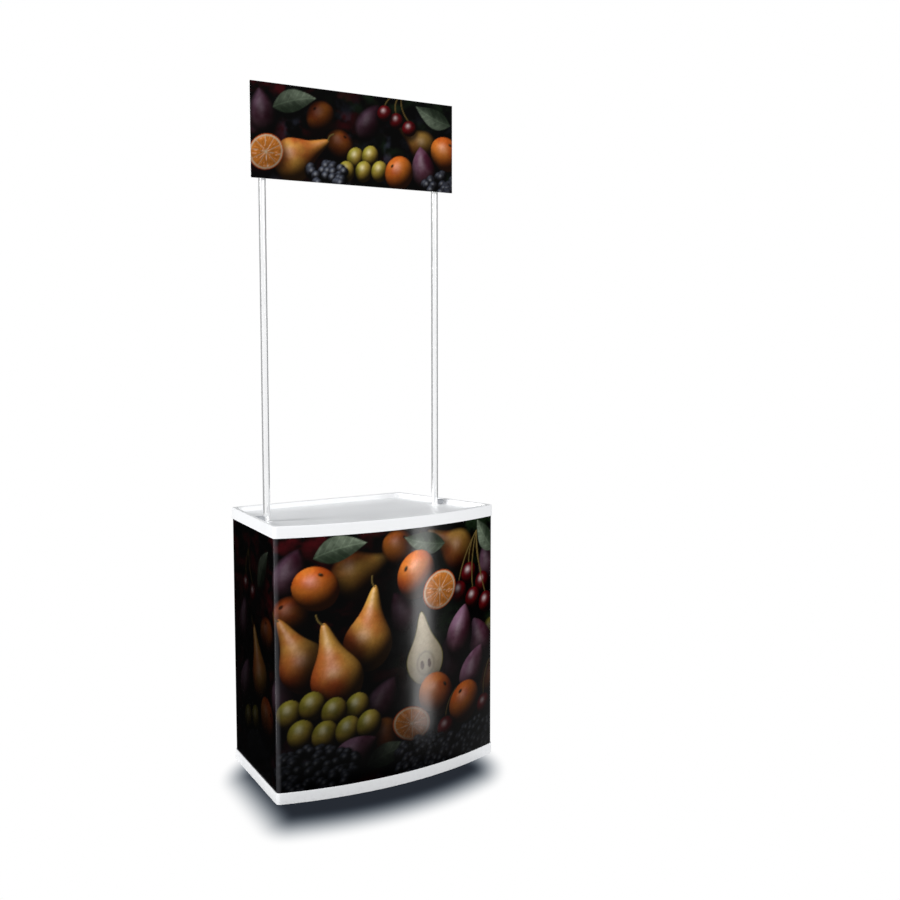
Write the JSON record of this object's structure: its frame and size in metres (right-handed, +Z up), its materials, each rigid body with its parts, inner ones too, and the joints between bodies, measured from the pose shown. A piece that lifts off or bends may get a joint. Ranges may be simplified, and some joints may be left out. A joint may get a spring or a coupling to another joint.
{
  "type": "tasting display stand",
  "caption": "Knock-down tasting counter with a bowed printed front, tray top, open rear with a shelf, and a flat header sign on two slim poles.",
  "frame": {"origin": "on the floor under the middle of the counter's width and depth", "axes": "+X to the customer's right, +Y to the open rear, +Z up"},
  "size_m": [0.8134, 0.5219, 2.171],
  "materials": {
    "white_abs": "moulded, semi-gloss white",
    "board_pvc": "white foam board, matte",
    "hinge_pvc": "flexible white strip, satin",
    "print_film": "dark print under a gloss laminate",
    "rail_pvc": "extruded white profile, satin",
    "shelf_pvc": "white board, satin",
    "pole_paint": "white powder coat on steel tube",
    "fitting_nylon": "grey moulded nylon",
    "foot_rubber": "black rubber",
    "screw_steel": "plated steel"
  },
  "bodies": {
    "base": {"base_tray": "white_abs", "base_feet": "foot_rubber", "left_rear_post": "pole_paint", "right_rear_post": "pole_paint"},
    "body_sheet": {"front_panel": "board_pvc", "left_side_panel": "board_pvc", "right_side_panel": "board_pvc", "left_corner_hinge": "hinge_pvc", "right_corner_hinge": "hinge_pvc", "printed_wrap": "print_film", "left_shelf_rail": "rail_pvc", "right_shelf_rail": "rail_pvc"},
    "shelf": {"shelf_board": "shelf_pvc", "shelf_edge_strip": "rail_pvc"},
    "tabletop": {"tabletop_tray": "white_abs", "left_pole_socket": "white_abs", "right_pole_socket": "white_abs", "left_socket_nut": "fitting_nylon", "right_socket_nut": "fitting_nylon", "left_pole_saddle": "fitting_nylon", "right_pole_saddle": "fitting_nylon", "saddle_screws": "screw_steel"},
    "header": {"header_board": "board_pvc", "header_print": "print_film", "left_header_sleeve": "rail_pvc", "right_header_sleeve": "rail_pvc", "sleeve_screws": "screw_steel"},
    "left_lower_pole": {"left_lower_pole": "pole_paint", "left_pole_spigot": "fitting_nylon", "left_foot_plug": "fitting_nylon"},
    "left_upper_pole": {"left_upper_pole": "pole_paint", "left_top_cap": "fitting_nylon"},
    "right_lower_pole": {"right_lower_pole": "pole_paint", "right_pole_spigot": "fitting_nylon", "right_foot_plug": "fitting_nylon"},
    "right_upper_pole": {"right_upper_pole": "pole_paint", "right_top_cap": "fitting_nylon"}
  },
  "joints": [
    {"name": "sheet_lift", "type": "slide", "parent": "base", "child": "body_sheet", "axis": [0, 0, 1], "range_m": [0, 0.03]},
    {"name": "shelf_lift", "type": "slide", "parent": "body_sheet", "child": "shelf", "axis": [0, 0, 1], "range_m": [0, 0.3]},
    {"name": "tabletop_lift", "type": "slide", "parent": "body_sheet", "child": "tabletop", "axis": [0, 0, 1], "range_m": [0, 0.08]},
    {"name": "left_pole_lift", "type": "slide", "parent": "tabletop", "child": "left_lower_pole", "axis": [0, 0, 1], "range_m": [0, 0.08]},
    {"name": "right_pole_lift", "type": "slide", "parent": "tabletop", "child": "right_lower_pole", "axis": [0, 0, 1], "range_m": [0, 0.08]},
    {"name": "left_pole_parting", "type": "slide", "parent": "left_lower_pole", "child": "left_upper_pole", "axis": [0, 0, 1], "range_m": [0, 0.065]},
    {"name": "right_pole_parting", "type": "slide", "parent": "right_lower_pole", "child": "right_upper_pole", "axis": [0, 0, 1], "range_m": [0, 0.065]},
    {"name": "header_lift", "type": "slide", "parent": "left_upper_pole", "child": "header", "axis": [0, 0, 1], "range_m": [0, 0.265]}
  ],
  "couplings": [
    {"joint": "right_pole_lift", "follows": "left_pole_lift", "ratio": 1},
    {"joint": "right_pole_parting", "follows": "left_pole_parting", "ratio": 1}
  ]
}
